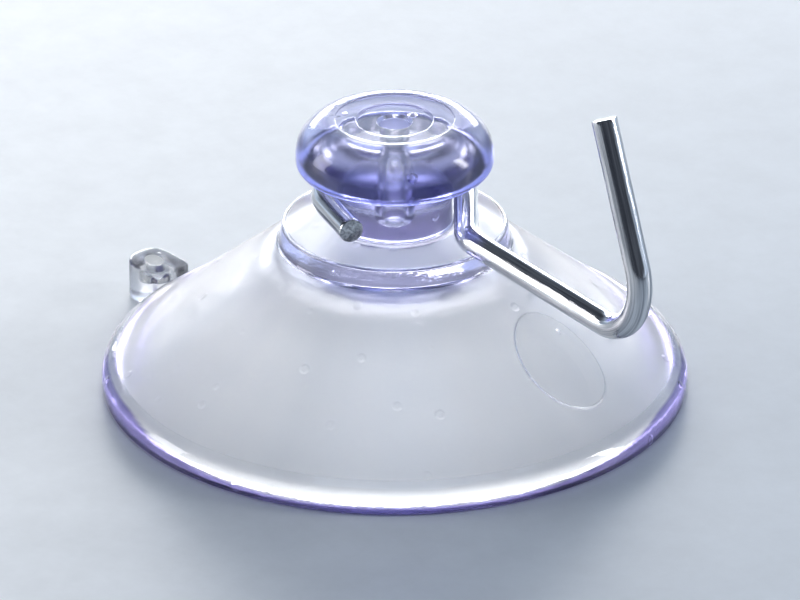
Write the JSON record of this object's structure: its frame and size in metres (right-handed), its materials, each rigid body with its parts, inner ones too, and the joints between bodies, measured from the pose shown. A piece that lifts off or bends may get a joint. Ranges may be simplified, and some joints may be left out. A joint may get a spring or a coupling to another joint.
{
  "type": "suction cup hook",
  "caption": "Clear conical suction cup with a collar, neck and mushroom head, and a bent wire hook that turns round the neck.",
  "frame": {"origin": "on the cup's axis, in the plane of the lip that goes against the glass", "axes": "+Z along the cup's axis towards the head, +X along the hook's arm"},
  "size_m": [0.0809, 0.064, 0.0461],
  "materials": {
    "clear_vinyl": "clear moulded soft PVC with a violet-blue tint",
    "plated_wire": "bright zinc or nickel plating"
  },
  "bodies": {
    "cup": {"suction_cup": "clear_vinyl"},
    "hook": {"wire_hook": "plated_wire"}
  },
  "joints": [
    {"name": "hook_swivel", "type": "hinge", "parent": "cup", "child": "hook", "pos_m": [0, 0, 0.02236], "axis": [0, 0, 1], "continuous": true}
  ]
}
